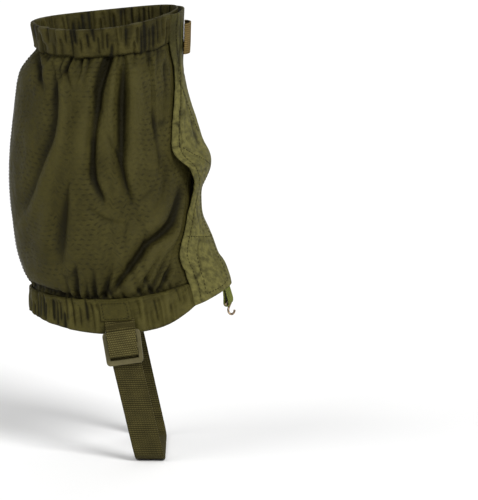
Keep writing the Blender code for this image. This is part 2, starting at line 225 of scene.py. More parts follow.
# Folds of the outer side, in the side view: each is a path of (x, z, width, depth). A positive depth
# is a valley and a negative one a ridge; widths and depths are in millimetres.
LATERAL_FOLDS = (
    # Two deep pleats that fall from the top seam.
    ((-26, 276, 2.2, 1.5), (-29, 270, 3.4, 4.6), (-33, 256, 3.8, 5.4), (-34, 245, 3.6, 5.0),
     (-37, 224, 3.4, 3.8), (-37, 198, 3.0, 3.2), (-32, 184, 2.4, 2.4), (-31, 178, 1.8, 0.2)),
    ((-17, 278, 2.2, 1.5), (-17, 262, 3.2, 4.4), (-17.5, 246, 3.6, 5.2), (-18, 226, 3.6, 4.8),
     (-18.5, 205, 3.4, 3.4), (-16, 190, 3.0, 2.6), (-12, 176, 2.4, 0.3)),
    # Ridges beside them.
    ((-41, 262, 5, -1.0), (-43, 240, 5.5, -1.9), (-46, 212, 6, -1.7), (-46, 186, 5, -0.4)),
    ((-25, 262, 3.4, -1.4), (-26, 240, 3.6, -1.9), (-27, 212, 4, -1.5), (-25, 190, 4, -0.4)),
    ((-9, 268, 4, -1.0), (-9, 244, 4.6, -2.0), (-8, 216, 5, -1.7), (-6, 190, 5, -0.3)),
    # A short deep pleat near the back of the seam.
    ((-75.5, 275, 1.8, 1.6), (-74.5, 270, 2.4, 3.6), (-73, 261, 2.4, 3.2), (-70.5, 251, 2.0, 0.3)),
    # The long diagonal fold towards the back, with its ridge.
    ((-65.5, 270, 2.6, 1.2), (-62.5, 254, 3.0, 2.4), (-62.5, 238, 3.0, 2.4), (-65, 222, 3.2, 2.6),
     (-71, 207, 3.4, 2.8), (-81, 180, 3.4, 2.2), (-90, 160, 3.0, 0.8)),
    ((-60, 262, 4, -1.0), (-57, 246, 4.4, -2.0), (-58, 228, 4.6, -2.3), (-63, 208, 5, -2.4),
     (-72, 184, 5, -2.0), (-82, 160, 5, -0.6)),
    # A valley that opens downwards below the middle.
    ((-54, 193, 1.2, 0.4), (-55, 184, 2.2, 2.2), (-57, 168, 3.8, 2.8), (-60, 148, 5.4, 2.2),
     (-62, 132, 5.0, 0.3)),
    ((-66, 182, 5, -0.5), (-69, 166, 6, -1.8), (-72, 146, 6, -1.4), (-72, 128, 6, -0.2)),
    # The large curved fold in front of the ankle, with its roll.
    ((26, 190, 3.4, 2.0), (20, 174, 3.8, 4.0), (15, 161, 3.8, 4.8), (6.5, 154.5, 3.4, 4.6),
     (-2, 149, 3.2, 4.6), (-11, 137, 3.0, 4.4), (-19, 126, 2.8, 3.6), (-29, 114, 2.4, 1.6)),
    ((27, 176, 3.4, -1.2), (23, 160, 3.6, -2.8), (13, 148, 3.6, -3.0), (3, 140, 3.4, -2.8),
     (-6, 128, 3.2, -2.4), (-15, 116, 3.0, -1.0)),
    ((14, 176, 5, -0.6), (4, 166, 5, -1.8), (-8, 158, 5, -1.8), (-18, 145, 5, -1.4),
     (-28, 130, 4.5, -0.4)),
    # The fan of grooves above the bottom seam in front of the patch.
    ((19, 145, 1.2, 0.6), (16, 136, 1.8, 3.0), (9.5, 124, 1.9, 3.0), (6, 116, 1.6, 1.2)),
    ((9, 149, 1.3, 0.5), (1, 134, 1.7, 2.2), (-9, 114, 1.6, 1.4)),
    ((14, 145, 1.2, 0.4), (7, 131, 1.5, 2.0), (-1, 114, 1.5, 1.2)),
    ((26, 142, 1.4, 0.6), (24, 130, 1.9, 2.6), (20, 119, 1.6, 1.2)),
    ((33, 142, 1.4, 0.8), (30, 130, 2.0, 2.4), (28, 119, 1.6, 1.0)),
    # Gathers above the bottom seam behind the patch.
    ((-50, 137, 1.6, 0.4), (-49, 124, 2.2, 2.6), (-48, 109, 1.7, 2.0)),
    ((-38, 134, 1.4, 0.3), (-37, 122, 1.9, 2.0), (-36, 108, 1.6, 1.6)),
    ((-25, 137, 1.4, 0.3), (-28, 124, 2.2, 2.8), (-32, 110, 1.8, 1.8)),
    ((-43, 128, 1.3, 0.2), (-42, 116, 1.6, 1.6), (-42, 108, 1.4, 1.4)),
    ((-57, 128, 1.3, 0.2), (-54, 116, 1.6, 1.8), (-52, 108, 1.4, 1.4)),
    # The overhang of slack cloth at the back, just above the bottom seam.
    ((-86, 118, 2.4, 2.4), (-76, 117, 2.6, 3.2), (-64, 115.5, 2.4, 2.8), (-52, 112, 2.0, 0.8)),
    ((-86, 126, 4.0, -1.4), (-74, 125, 4.0, -1.6), (-60, 122, 4.0, -0.8)),
    # Thin creases.
    ((0.5, 274, 1.1, 1.2), (2, 254, 1.2, 1.6), (3, 234, 1.2, 1.6), (5.5, 219, 1.0, 0.2)),
    ((-45, 274, 1.4, 1.6), (-46, 267, 1.6, 1.8), (-49, 258, 1.3, 0.2)),
    ((-53, 274, 1.4, 1.4), (-55, 266, 1.7, 1.9), (-52, 255, 1.3, 0.2)),
    ((-58.5, 273, 1.3, 1.4), (-60, 266, 1.4, 1.5), (-57, 258, 1.2, 0.2)),
    ((9, 272, 1.6, 1.0), (12, 252, 2.4, 1.6), (13, 230, 2.6, 1.2), (12, 206, 2.4, 0.2)),
    ((6, 214, 2.0, 0.3), (11, 198, 2.6, 1.6), (8, 182, 2.4, 1.2), (2, 170, 2.0, 0.2)),
    ((-43, 178, 2, 0.2), (-30, 168, 2.6, 1.2), (-16, 164, 2.4, 0.3)),
)

# Folds of the inner side, freely arranged.
MEDIAL_FOLDS = (
    ((-62, 276, 2.0, 1.5), (-61, 258, 3.2, 4.0), (-57, 236, 3.4, 3.6), (-58, 210, 3.0, 2.0),
     (-62, 188, 2.4, 0.3)),
    ((-35, 277, 2.0, 1.5), (-36, 256, 3.4, 4.4), (-33, 230, 3.6, 4.2), (-35, 200, 3.2, 2.6),
     (-40, 172, 2.6, 0.3)),
    ((-8, 278, 2.0, 1.2), (-6, 258, 3.0, 3.4), (-10, 234, 3.2, 3.0), (-9, 208, 2.8, 1.2),
     (-4, 190, 2.4, 0.2)),
    ((-46, 262, 5, -1.0), (-46, 236, 5.5, -2.0), (-48, 204, 6, -1.6), (-50, 180, 5, -0.3)),
    ((-20, 264, 4.6, -1.0), (-21, 238, 5, -2.0), (-22, 206, 5, -1.6), (-22, 186, 5, -0.3)),
    ((24, 186, 3.0, 1.0), (14, 166, 3.6, 3.6), (-2, 152, 3.4, 3.8), (-18, 134, 3.0, 3.2),
     (-30, 115, 2.4, 1.2)),
    ((22, 166, 3.6, -1.4), (8, 148, 3.8, -2.6), (-8, 130, 3.4, -2.0), (-18, 116, 3, -0.6)),
    ((-84, 182, 2.6, 0.6), (-74, 166, 3.4, 2.8), (-58, 152, 3.2, 2.6), (-46, 134, 2.8, 2.2),
     (-42, 114, 2.2, 1.0)),
    ((-70, 150, 4, -0.8), (-58, 140, 4.2, -1.8), (-50, 122, 3.6, -1.0)),
    ((14, 140, 1.4, 0.5), (9, 126, 1.9, 2.6), (6, 115, 1.6, 1.2)),
    ((-64, 130, 1.4, 0.4), (-62, 120, 1.9, 2.2), (-61, 109, 1.6, 1.4)),
)


def seam_level(angle):
    """The bottom seam's level, which rises at the sides."""
    return BOTTOM_SEAM - 0.36 * np.sin(np.radians(angle)) ** 2


def hem_level(angle):
    """The bottom hem's level: the strap patches draw it up, and it rises under the flap."""
    beside = np.abs(np.abs(angle) - NOTCH_ANGLE)
    drawn = 0.42 * (1 - smoothstep(6.9, 8.8, beside))
    return HEM - drawn - 0.38 * (1 - smoothstep(40, 74, np.abs(angle)))


def top_seam(angle):
    """The top seam's level, a little uneven from its gathers."""
    turn = np.radians(angle)
    around = np.stack([np.cos(turn), np.sin(turn), 0 * turn], axis=-1)
    return TOP_SEAM + 0.07 * noise(around, 0.12, 19)


class Pleats:
    """The narrow pleats of an elastic casing: each runs part of the way between seam and edge."""

    def __init__(self, seed, spacing):
        random = np.random.default_rng(seed)
        self.marks = []
        angle = -180.0
        while angle < 180.0:
            angle += spacing * random.uniform(0.6, 1.45)
            start, end = random.uniform(-0.3, 0.25), random.uniform(0.75, 1.3)
            if random.random() > 0.72:
                start, end = random.choice([(-0.3, 0.55), (0.4, 1.3)])
            depth = random.uniform(1.1, 2.1)
            lean = random.uniform(-1.1, 1.1)
            self.marks.append((angle, start, end, depth, lean, random.uniform(0.55, 0.9)))

    def relief(self, angle, share, per_degree):
        total = np.zeros(angle.shape)
        for place, start, end, depth, lean, width in self.marks:
            apart = half_turn(angle - place) * per_degree - lean * (share - 0.5)
            shape = 0.45 * hump(apart, width) + 0.55 * hump(apart, 2.5 * width)
            ends = smoothstep(start, start + 0.25, share) * (1 - smoothstep(end - 0.25, end, share))
            total = np.maximum(total, depth * shape * ends)
        return total


class Creases:
    """Gathers that start at a seam: each runs straight away from it, widens and fades."""

    def __init__(self, seed, spacing, longest):
        random = np.random.default_rng(seed)
        self.marks = []
        angle = -180.0
        while angle < 180.0:
            angle += spacing * random.uniform(0.55, 1.5)
            kind = random.random()
            length = random.uniform(5, 12)
            if kind > 0.6:
                length = random.uniform(12, 26)
            if kind > 0.88:
                length = random.uniform(0.5, 1.0) * longest
            depth = random.uniform(0.7, 1.3) * (0.8 + length / 30)
            lean = random.uniform(-0.12, 0.12)
            self.marks.append((angle, length, min(depth, 2.4), lean, random.uniform(0.8, 1.25)))

    def relief(self, angle, away, per_degree):
        """How far the cloth stands in, away millimetres from the seam."""
        total = np.zeros(angle.shape)
        for place, length, depth, lean, stretch in self.marks:
            apart = half_turn(angle - place) * per_degree - lean * away
            share = np.clip(away / length, 0, 1)
            width = stretch * (0.85 + 1.6 * share + length / 40)
            fade = (1 - share) ** 1.4
            total += depth * fade * hump(apart, width)
        return total


TOP_GATHERS = Creases(seed=11, spacing=4.4, longest=60)
BOTTOM_GATHERS = Creases(seed=23, spacing=3.9, longest=42)


def fold_relief(first, second, folds):
    total = np.zeros(first.shape)
    for path in folds:
        apart, extras, past_end = near_path(first, second, path)
        width, depth = extras[..., 0], extras[..., 1]
        # A valley has a slow bank on one side, and on the other a steep one with a rolled lip.
        slow = hump(np.minimum(apart, 0), 1.15 * width)
        steep = 1 - smoothstep(0.30 * width, 1.0 * width, apart)
        lip = 0.30 * hump(apart - 1.7 * width, 0.8 * width)
        valley = np.where(apart > 0, steep, slow) - lip
        shape = np.where(depth > 0, valley, hump(apart, width))
        total += depth * shape * hump(past_end, 3.0)
    return total


def new_object(name, data):
    piece = bpy.data.objects.new(name, data)
    bpy.context.scene.collection.objects.link(piece)
    return piece


def grid_mesh(name, points, finish, uv, painted_fold_shading=None, flip=False):
    """A sheet of quads through a (rows, columns, 3) array, with its cloth coordinates in millimetres."""
    rows, columns = points.shape[:2]
    index = np.arange(rows * columns).reshape(rows, columns)
    quads = np.stack([index[:-1, :-1], index[1:, :-1], index[1:, 1:], index[:-1, 1:]], axis=-1)
    quads = quads.reshape(-1, 4)
    if flip:
        quads = quads[:, ::-1]
    mesh = bpy.data.meshes.new(name)
    mesh.from_pydata((points.reshape(-1, 3) * MM).tolist(), [], quads.tolist())
    mesh.shade_smooth()
    corners = np.empty(len(mesh.loops), np.int32)
    mesh.loops.foreach_get("vertex_index", corners)
    layer = mesh.uv_layers.new(name="cloth")
    layer.data.foreach_set("uv", uv.reshape(-1, 2)[corners].astype(np.float32).ravel())
    # These values become a point attribute. The cloth finishes turn it into painted shade below zero and
    # painted highlight above zero.
    if painted_fold_shading is not None:
        shading = mesh.attributes.new("painted_fold_shading", "FLOAT", "POINT")
        shading.data.foreach_set("value", painted_fold_shading.astype(np.float32).ravel())
    mesh.materials.append(finish)
    return new_object(name, mesh)


def thicken(piece, thickness, offset=-1.0):
    wall = piece.modifiers.new("thickness", "SOLIDIFY")
    wall.thickness = thickness * MM
    wall.offset = offset
    return piece


def path_lengths(points, axis):
    steps = np.linalg.norm(np.diff(points, axis=axis), axis=-1)
    zero = np.zeros_like(np.take(steps, [0], axis=axis))
    return np.concatenate([zero, np.cumsum(steps, axis=axis)], axis=axis)


def grid(down, across):
    """The values down the rows and across the columns, each as a full array."""
    return np.meshgrid(down, across, indexing="ij")


class Sheet:
    """A cloth surface over the leg between rows of levels and columns of angles."""

    def __init__(self, angles, levels, distance, row_of=None):
        self.row_of = row_of
        # Per-point values of painted shade and painted highlight, when the sheet has them.
        self.painted_fold_shading = None
        self.angles = angles
        self.levels = levels
        self.distance = distance
        self.points = off_surface(angles, levels, distance)

    def uv(self):
        around = path_lengths(self.points, 1)
        down = path_lengths(self.points, 0)
        return np.stack([around, down], axis=-1)

    def place(self, angle, level, lift=0.0):
        """Points lift millimetres off the sheet at the given angles and levels."""
        angle, level = np.broadcast_arrays(np.asarray(angle, float), np.asarray(level, float))
        rows = len(self.angles)
        heights = self.levels[:, 0]
        row = np.interp(level, heights, np.arange(rows))
        if self.row_of:
            row = self.row_of(angle, level)
        low = np.clip(row.astype(int), 0, rows - 2)
        part = row - low
        found = np.zeros(angle.shape)
        for index in np.ndindex(angle.shape):
            above = np.interp(angle[index], self.angles[low[index]], self.distance[low[index]])
            below = np.interp(
                angle[index], self.angles[low[index] + 1], self.distance[low[index] + 1]
            )
            found[index] = above + (below - above) * part[index]
        return off_surface(angle, level, found + lift)


def flap_buckle(angle, level):
    """How far the stiff flap stands away over the front of the ankle."""
    along = np.clip(np.abs((level - 5.0) / 1.3), 0, 1)
    across = np.clip((15.0 - angle) / 19.0, 0, 1)
    return 4.8 * (1 + np.cos(np.pi * along)) / 2 * across * across * (3 - 2 * across)


def body_span(angle):
    """The levels where the body's cloth ends, a little inside both seams."""
    return top_seam(angle) - 0.06, seam_level(angle) + 0.04


def body_sheet(side, rows, columns):
    """The gathered cloth of one side, from the top seam to the bottom seam."""
    share, across = grid(np.linspace(0, 1, rows), np.linspace(0, 1, columns))
    first, last = (-180.0, -OPENING) if side < 0 else (OPENING, 180.0)
    angles = first + (last - first) * across
    start, end = body_span(angles)
    levels = start + (end - start) * share
    base = middle_surface(angles, levels)
    per_degree = degree_length(angles, levels)
    down = path_lengths(base, 0)
    from_top = down - 1.1
    from_bottom = down[-1:] - down - 0.7
    inside_top = np.maximum(from_top, 0)
    inside_bottom = np.maximum(from_bottom, 0)

    folds = LATERAL_FOLDS if side < 0 else MEDIAL_FOLDS
    valleys = fold_relief(base[..., 0], base[..., 2], folds)
    # The folds belong to the flat of each side and die out before the back seam and the flap.
    facing = smoothstep(0.10, 0.42, np.abs(np.sin(np.radians(angles))))
    valleys = valleys * facing
    top = TOP_GATHERS.relief(angles, inside_top, per_degree)
    bottom = BOTTOM_GATHERS.relief(angles, inside_bottom, per_degree)
    gathers = 1.35 * top + 1.2 * bottom

    drape = 1.1 * noise(base, (30, 30, 95), 3)
    bends = noise(base, (15, 15, 34), 5)
    slack = smoothstep(6, 40, np.minimum(inside_top, inside_bottom))
    creased = hump(noise(base, (17, 17, 40), 8), 0.10) * smoothstep(0.0, 0.5, noise(base, 30, 9))
    crumple = 0.75 * bends - 0.8 * creased + 0.26 * noise(base, (5, 5, 9), 12)

    free = -smooth_value(FLAP_FREE_EDGE, np.clip(levels, 0, 11))
    sewn = smooth_value(FLAP_SEWN_EDGE, np.clip(levels, 0, 11))
    edge = free if side < 0 else sewn
    clear = smoothstep(edge + 1.0, edge + 9.0, np.abs(angles))
    seam_dip = 0.9 * hump((180 - np.abs(angles)) * per_degree, 1.4)
    puff = 1.2 * smoothstep(0, 5, inside_top) * smoothstep(0, 6, inside_bottom)
    relief = (drape + crumple) * (0.35 + 0.65 * slack) - valleys - gathers
    distance = 0.6 + clear * (relief + puff) - seam_dip
    # Under the flap the cloth lies flat, and at the seams it runs in under the cuffs.
    tuck = (1 - smoothstep(0, 1.1, from_top)) + (1 - smoothstep(0, 1.1, from_bottom))
    distance = distance * (1 - np.clip(tuck, 0, 1)) - 0.2 * np.clip(tuck, 0, 1)

    def row_of(angle, level):
        start, end = body_span(angle)
        return (level - start) / (end - start) * (rows - 1)

    sheet = Sheet(angles, levels, distance, row_of)
    # Painted shade in the valleys, gathers and creases, and painted highlight on the bends, clear of the
    # flap.
    sheet.painted_fold_shading = clear * (-0.27 * valleys - 0.46 * gathers + 0.36 * bends - 0.5 * creased)
    return sheet


# The elastic casings: their height, the radius of the turn over the edge, and half their depth.
CASING_HEIGHT = 20.0
CASING_TURN = 1.9
CASING_HALF = 1.75


def cuff_sheet(name, seam_of, edge_of, pleats, finish, patched=False):
    """A folded elastic casing: out of the seam, over the outer edge and down inside to the seam."""
    rows, columns = 58, 640
    travel = np.linspace(0, 1, rows)
    height, turn = CASING_HEIGHT, CASING_TURN
    run = 2 * height + math.pi * turn
    place = travel * run
    outer = place < height
    inner = place > run - height
    bend = np.clip((place - height) / (math.pi * turn), 0, 1) * math.pi
    share = np.where(outer, place / height, np.where(inner, (run - place) / height, 1.0))
    belly = 0.35 * np.sin(np.pi * np.clip(share, 0, 1))
    half = CASING_HALF + belly
    # The last part before the seam is drawn in.
    half = half * (0.30 + 0.70 * smoothstep(0.0, 0.10, share))
    reach = (height - turn) / height
    along = share * reach + np.sin(bend) * turn / height
    distance = np.where(outer, half, np.where(inner, -half, CASING_HALF * np.cos(bend)))
    outward = np.where(outer, 1.0, np.where(inner, -1.0, np.cos(bend)))

    angle = np.linspace(OPENING, 360 - OPENING, columns)[None, :] * np.ones((rows, 1))
    angle = half_turn(angle)
    seam, edge = seam_of(angle), edge_of(angle)
    levels = seam + (edge - seam) * along[:, None]
    per_degree = degree_length(angle, levels)
    base = middle_surface(angle, levels)
    depth = pleats.relief(angle, share[:, None] * np.ones((1, columns)), per_degree)
    wave = 1.0 * noise(base, (5.2, 5.2, 26), 31) + 0.15 * noise(base, 3.5, 32)
    calm = 1 - 0.9 * (1 - smoothstep(9, 11.5, np.abs(np.abs(angle) - PATCH_ANGLE)))
    calm = calm if patched else np.ones_like(calm)
    near_front = smoothstep(OPENING, OPENING + 8, np.abs(angle))
    calm = calm * (0.35 + 0.65 * near_front)
    swing = np.maximum(wave - depth + 0.55, -0.9) * calm
    swing = swing * np.where(share < 0.04, 0.3, 1.0)[:, None]
    total = distance[:, None] + outward[:, None] * swing
    points = off_surface(angle, levels, total)
    uv = np.stack([path_lengths(points, 1), path_lengths(points, 0)], axis=-1)
    # Painted shade in the pleats and at the seam, and painted highlight on the swells of the wave.
    at_seam = 1 - smoothstep(0, 0.07, share)[:, None]
    painted_fold_shading = calm * (0.75 * wave + 0.30 - 0.60 * depth) - 0.3 * at_seam
    piece = grid_mesh(name, points, finish, uv, painted_fold_shading, flip=bool(seam[0, 0] > edge[0, 0]))
    return thicken(piece, 0.5)


# Coated cloth and webbing reflect little at a glance, so they take a low index of refraction.
CLOTH_IOR = 1.18


class Finish:
    """A material, with short names for the nodes that the finishes below are made of."""

    def __init__(self, name, **constants):
        self.material = bpy.data.materials.new(name)
        self.material.use_nodes = True
        self.tree = self.material.node_tree
        self.shader = self.tree.nodes["Principled BSDF"]
        for socket, value in constants.items():
            self.shader.inputs[socket.replace("_", " ")].default_value = value
        cloth = self.tree.nodes.new("ShaderNodeUVMap")
        cloth.uv_map = "cloth"
        self.cloth = cloth.outputs["UV"]
        solid = self.tree.nodes.new("ShaderNodeTexCoord")
        self.solid = solid.outputs["Object"]

    def feed(self, socket, value):
        if hasattr(value, "is_output"):
            self.tree.links.new(value, socket)
        elif hasattr(socket.default_value, "__len__") and len(socket.default_value) == 4:
            socket.default_value = (*value, 1.0)
        else:
            socket.default_value = value

    def math(self, operation, *values):
        node = self.tree.nodes.new("ShaderNodeMath")
        node.operation = operation
        for socket, value in zip(node.inputs, values):
            self.feed(socket, value)
        return node.outputs[0]

    def times(self, first, second):
        return self.math("MULTIPLY", first, second)

    def axes(self, vector):
        node = self.tree.nodes.new("ShaderNodeSeparateXYZ")
        self.feed(node.inputs[0], vector)
        return node.outputs

    def scaled(self, vector, scale):
        node = self.tree.nodes.new("ShaderNodeVectorMath")
        node.operation = "MULTIPLY"
        self.feed(node.inputs[0], vector)
        node.inputs[1].default_value = scale
        return node.outputs[0]

    def noise(self, vector, scale, detail=2.0, rough=0.5):
        node = self.tree.nodes.new("ShaderNodeTexNoise")
        self.feed(node.inputs["Vector"], vector)
        node.inputs["Scale"].default_value = scale
        node.inputs["Detail"].default_value = detail
        node.inputs["Roughness"].default_value = rough
        return node.outputs["Fac"]

    def span(self, value, low, high, out_low=0.0, out_high=1.0):
        node = self.tree.nodes.new("ShaderNodeMapRange")
        node.interpolation_type = "SMOOTHSTEP"
        for socket, given in zip(node.inputs, (value, low, high, out_low, out_high)):
            self.feed(socket, given)
        return node.outputs[0]

    def mix(self, share, first, second, blend="MIX"):
        node = self.tree.nodes.new("ShaderNodeMix")
        node.data_type = "RGBA"
        node.blend_type = blend
        self.feed(node.inputs[0], share)
        self.feed(node.inputs[6], first)
        self.feed(node.inputs[7], second)
        return node.outputs[2]

    def attribute(self, name):
        node = self.tree.nodes.new("ShaderNodeAttribute")
        node.attribute_name = name
        return node.outputs["Fac"]

    def bump(self, height, distance, below=None):
        node = self.tree.nodes.new("ShaderNodeBump")
        node.inputs["Strength"].default_value = 1.0
        node.inputs["Distance"].default_value = distance * MM
        self.feed(node.inputs["Height"], height)
        if below is not None:
            self.feed(node.inputs["Normal"], below)
        return node.outputs[0]

    def tinted(self, colour, strength):
        """The colour times a grey of the given strength."""
        node = self.tree.nodes.new("ShaderNodeCombineColor")
        for socket in node.inputs[:3]:
            self.feed(socket, strength)
        return self.mix(1.0, colour, node.outputs[0], "MULTIPLY")

    def wave(self, value, pitch):
        """A cosine from 0 to 1 of a length in millimetres."""
        turned = self.times(value, 2 * math.pi / pitch)
        return self.math("MULTIPLY_ADD", self.math("COSINE", turned), 0.5, 0.5)

    def finish(self, colour, roughness, normal):
        self.feed(self.shader.inputs["Base Color"], colour)
        self.feed(self.shader.inputs["Roughness"], roughness)
        self.feed(self.shader.inputs["Normal"], normal)
        return self.material


def lozenges(look, across, down, width, height):
    """1 in small staggered lozenges of the dobby weave, 0 between them."""
    row = look.math("DIVIDE", down, height)
    odd = look.math("MODULO", look.math("FLOOR", row), 2.0)
    column = look.math("MULTIPLY_ADD", odd, 0.5, look.math("DIVIDE", across, width))
    from_middle = look.math("ABSOLUTE", look.math("SUBTRACT", look.math("FRACT", column), 0.5))
    from_row = look.math("ABSOLUTE", look.math("SUBTRACT", look.math("FRACT", row), 0.5))
    apart = look.math("MULTIPLY_ADD", from_middle, 0.75, look.times(from_row, 1.3))
    return look.span(apart, 0.20, 0.38, 1.0, 0.0)


def ripstop(name, colours, dobby=0.42, mottled=0.13, roughness=0.58, micro=1.0):
    """Coated nylon with a dobby weave, darkened in its folds by painted shade and paler on its ridges by
    painted highlight.
    """
    dark, middle, light = colours
    look = Finish(name, IOR=CLOTH_IOR)
    across, down, _ = look.axes(look.cloth)
    broad = look.noise(look.cloth, 0.035, 3.0)
    cloudy = look.noise(look.cloth, 0.22, 4.0, 0.6)
    grain = look.noise(look.cloth, 1.9, 3.0, 0.7)
    paler = [0.55 * part + 0.45 * bright for part, bright in zip(middle, light)]
    colour = look.mix(look.span(broad, 0.3, 0.7), middle, paler)
    colour = look.tinted(colour, look.span(cloudy, 0.32, 0.68, 1.0 - mottled, 1.0 + mottled))
    colour = look.tinted(colour, look.span(grain, 0.3, 0.7, 0.90, 1.10))
    # The lozenges are the dobby weave's own pattern. Their darkening is partly painted shade in the
    # weave's dimples, and how strongly they show varies at random.
    marks = lozenges(look, across, down, 5.0, 3.5)
    worn = look.span(look.noise(look.cloth, 0.06, 2.0), 0.38, 0.58, 0.15, 1.0)
    marks = look.times(marks, look.times(worn, dobby))
    colour = look.mix(marks, colour, dark)
    # Painted shade: the colour runs to dark where the cloth folds in. Painted highlight: it runs paler
    # where the cloth stands out.
    painted_fold_shading = look.attribute("painted_fold_shading")
    colour = look.mix(look.span(painted_fold_shading, -0.08, -1.1, 0.0, 0.88), colour, dark)
    colour = look.mix(look.span(painted_fold_shading, 0.05, 0.7, 0.0, 0.5), colour, light)
    threads = look.math("ADD", look.wave(across, 0.55), look.wave(down, 0.55))
    crinkle = look.noise(look.cloth, 0.45, 4.0, 0.65)
    normal = look.bump(crinkle, 0.55 * micro)
    normal = look.bump(look.math("MULTIPLY_ADD", grain, 1.4, threads), 0.05, normal)
    normal = look.bump(marks, 0.22, normal)
    rough = look.span(cloudy, 0.3, 0.7, roughness - 0.06, roughness + 0.08)
    return look.finish(colour, rough, normal)


def webbing(name, colours, rib, cord):
    """Woven webbing: rows of raised cords in a brick order and a selvage, with painted shade darkening
    the gaps between the cords and painted highlight on their tops.
    """
    dark, middle, light = colours
    look = Finish(name, IOR=CLOTH_IOR)
    across, down, _ = look.axes(look.cloth)
    wobble = look.math("MULTIPLY_ADD", look.noise(look.cloth, 0.5, 2.0), 0.5, down)
    row = look.math("DIVIDE", wobble, rib)
    odd = look.math("MODULO", look.math("FLOOR", row), 2.0)
    column = look.math("MULTIPLY_ADD", odd, 0.5, look.math("DIVIDE", across, cord))
    in_row = look.math("SINE", look.times(look.math("FRACT", row), math.pi))
    in_cord = look.math("SINE", look.times(look.math("FRACT", column), math.pi))
    raised = look.times(look.math("POWER", in_row, 0.6), look.math("POWER", in_cord, 0.5))
    fuzz = look.noise(look.cloth, 2.4, 4.0, 0.7)
    patchy = look.noise(look.cloth, 0.12, 3.0)
    # Painted shade: darker where the cords sink into the gaps. Painted highlight: paler on the fuzz of
    # the raised cords.
    colour = look.mix(look.span(raised, 0.25, 0.85), dark, middle)
    colour = look.mix(look.span(look.times(raised, fuzz), 0.42, 0.72), colour, light)
    colour = look.tinted(colour, look.span(patchy, 0.3, 0.7, 0.86, 1.14))
    normal = look.bump(look.math("MULTIPLY_ADD", fuzz, 0.25, raised), 0.35)
    rough = look.span(fuzz, 0.3, 0.7, 0.68, 0.86)
    return look.finish(colour, rough, normal)


def moulded_plastic(name, colours):
    """Matt acetal with a fine spark-eroded grain and paler rubbed streaks."""
    dark, middle, light = colours
    look = Finish(name, Specular_IOR_Level=0.25)
    cloudy = look.noise(look.solid, 160.0, 3.0)
    grain = look.noise(look.solid, 2200.0, 3.0, 0.6)
    scratches = look.noise(look.scaled(look.solid, (1.0, 1.0, 0.08)), 900.0, 2.0)
    colour = look.mix(look.span(cloudy, 0.3, 0.7), middle, light)
    colour = look.mix(look.span(grain, 0.62, 0.8, 0.0, 0.35), colour, dark)
    colour = look.mix(look.span(scratches, 0.66, 0.74, 0.0, 0.3), colour, light)
    normal = look.bump(grain, 0.05)
    rough = look.span(cloudy, 0.3, 0.7, 0.40, 0.55)
    return look.finish(colour, rough, normal)


def plated_wire(name, colours):
    """Worn plated steel: warm, with duller and darker spots."""
    dark, middle, light = colours
    look = Finish(name, Metallic=0.85)
    spots = look.noise(look.solid, 700.0, 4.0, 0.6)
    fine = look.noise(look.solid, 3600.0, 2.0)
    colour = look.mix(look.span(spots, 0.35, 0.6), dark, middle)
    colour = look.mix(look.span(spots, 0.58, 0.75), colour, light)
    rough = look.span(spots, 0.3, 0.7, 0.42, 0.24)
    return look.finish(colour, rough, look.bump(fine, 0.03))


def hook_and_loop(name, colours, hooks):
    """Hook or loop tape: rows of stiff hooks, or a mat of fine curled loops."""
    dark, middle, light = colours
    look = Finish(name, IOR=CLOTH_IOR)
    across, down, _ = look.axes(look.cloth)
    pile = look.noise(look.cloth, 1.6, 5.0, 0.75)
    if hooks:
        rows = look.times(look.wave(across, 1.3), look.wave(down, 1.6))
        pile = look.math("MULTIPLY_ADD", pile, 0.4, rows)
    colour = look.mix(look.span(pile, 0.3, 0.8), dark, middle)
    colour = look.mix(look.span(pile, 0.7, 1.1), colour, light)
    return look.finish(colour, look.span(pile, 0.2, 0.9, 0.95, 0.8), look.bump(pile, 0.6))


BODY_COLOURS = ((0.0045, 0.0037, 0.0006), (0.0315, 0.0268, 0.0056), (0.060, 0.052, 0.0135))
CUFF_COLOURS = ((0.0026, 0.0022, 0.0004), (0.0262, 0.0220, 0.0046), (0.066, 0.056, 0.014))
FLAP_COLOURS = ((0.018, 0.016, 0.0035), (0.090, 0.082, 0.0235), (0.125, 0.114, 0.036))
LOWER_COLOURS = ((0.0040, 0.0034, 0.0006), (0.0430, 0.0370, 0.0080), (0.080, 0.070, 0.018))
STRAP_COLOURS = ((0.012, 0.010, 0.002), (0.066, 0.055, 0.0165), (0.120, 0.104, 0.040))
LOOP_COLOURS = ((0.060, 0.036, 0.009), (0.185, 0.130, 0.042), (0.360, 0.270, 0.105))
TAB_COLOURS = ((0.050, 0.054, 0.010), (0.170, 0.190, 0.036), (0.300, 0.330, 0.080))
BUCKLE_COLOURS = ((0.030, 0.025, 0.009), (0.078, 0.066, 0.026), (0.104, 0.090, 0.038))
HOOK_COLOURS = ((0.120, 0.085, 0.050), (0.420, 0.320, 0.220), (0.660, 0.540, 0.420))
TAPE_COLOURS = ((0.0030, 0.0028, 0.0010), (0.0140, 0.0125, 0.0050), (0.030, 0.027, 0.012))
# A paler copy of the strap's colours for the webbing round the buckle: painted light.
PAINTED_LIGHT_TURN_COLOURS = ((0.022, 0.018, 0.005), (0.098, 0.083, 0.0265), (0.165, 0.145, 0.060))
ELASTIC_COLOURS = ((0.012, 0.011, 0.007), (0.055, 0.050, 0.035), (0.085, 0.078, 0.055))
THREAD_COLOURS = ((0.010, 0.009, 0.004), (0.030, 0.027, 0.011), (0.055, 0.050, 0.022))


def ride_new(piece, body, slot, *nodes):
    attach(piece, body)
    if nodes:
        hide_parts(*nodes)


